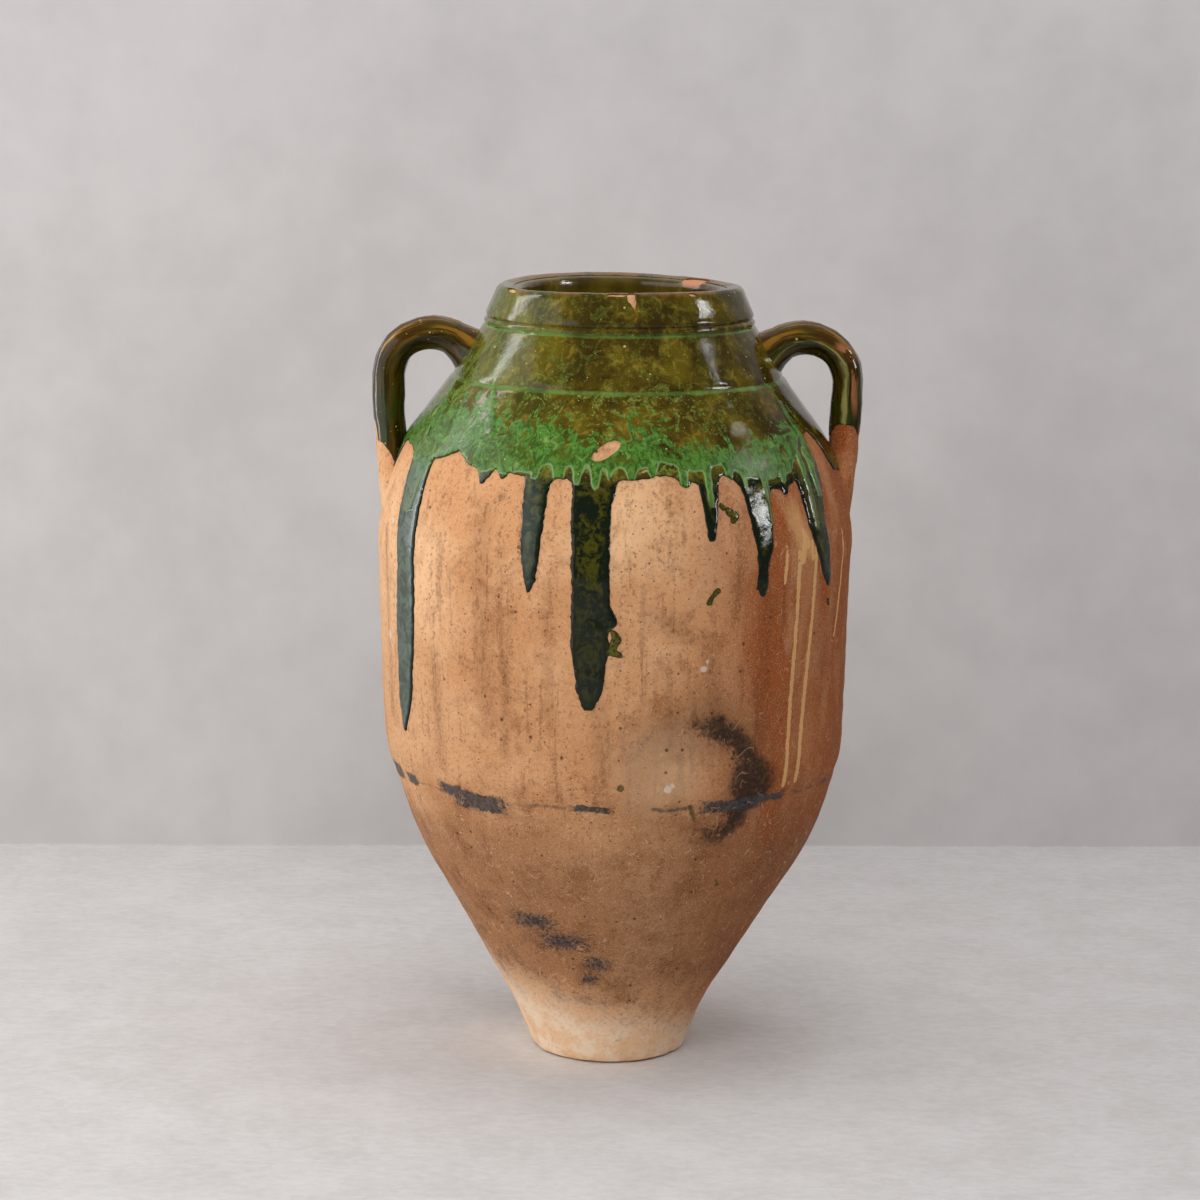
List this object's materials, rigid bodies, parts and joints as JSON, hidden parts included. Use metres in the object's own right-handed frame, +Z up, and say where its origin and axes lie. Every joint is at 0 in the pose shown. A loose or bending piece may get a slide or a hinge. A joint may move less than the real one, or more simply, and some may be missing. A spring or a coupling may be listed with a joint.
{
  "type": "olive jar",
  "caption": "Tall earthenware storage jar with a small flared foot, domed shoulder, collar mouth, loop handles and a green glaze that runs down its sides.",
  "frame": {"origin": "middle of the base, on the surface that the jar stands on", "axes": "+Z up along the axis of turning, handles on +X and -X, the side that the picture shows faces -Y"},
  "size_m": [0.4096, 0.3991, 0.65],
  "materials": {
    "terracotta": "unglazed fired earthenware, matt, tan to brown",
    "green_glaze": "glossy lead-type glaze, olive to dark green",
    "lining_glaze": "glossy olive-brown glaze"
  },
  "bodies": {
    "root": {"foot_cone": "terracotta", "belly_drum": "terracotta", "shoulder_dome": "terracotta", "neck_collar": "terracotta", "handle_left": "terracotta", "handle_right": "terracotta", "shoulder_glaze": "green_glaze", "handle_left_glaze": "green_glaze", "handle_right_glaze": "green_glaze", "inner_glaze": "lining_glaze"}
  },
  "joints": []
}
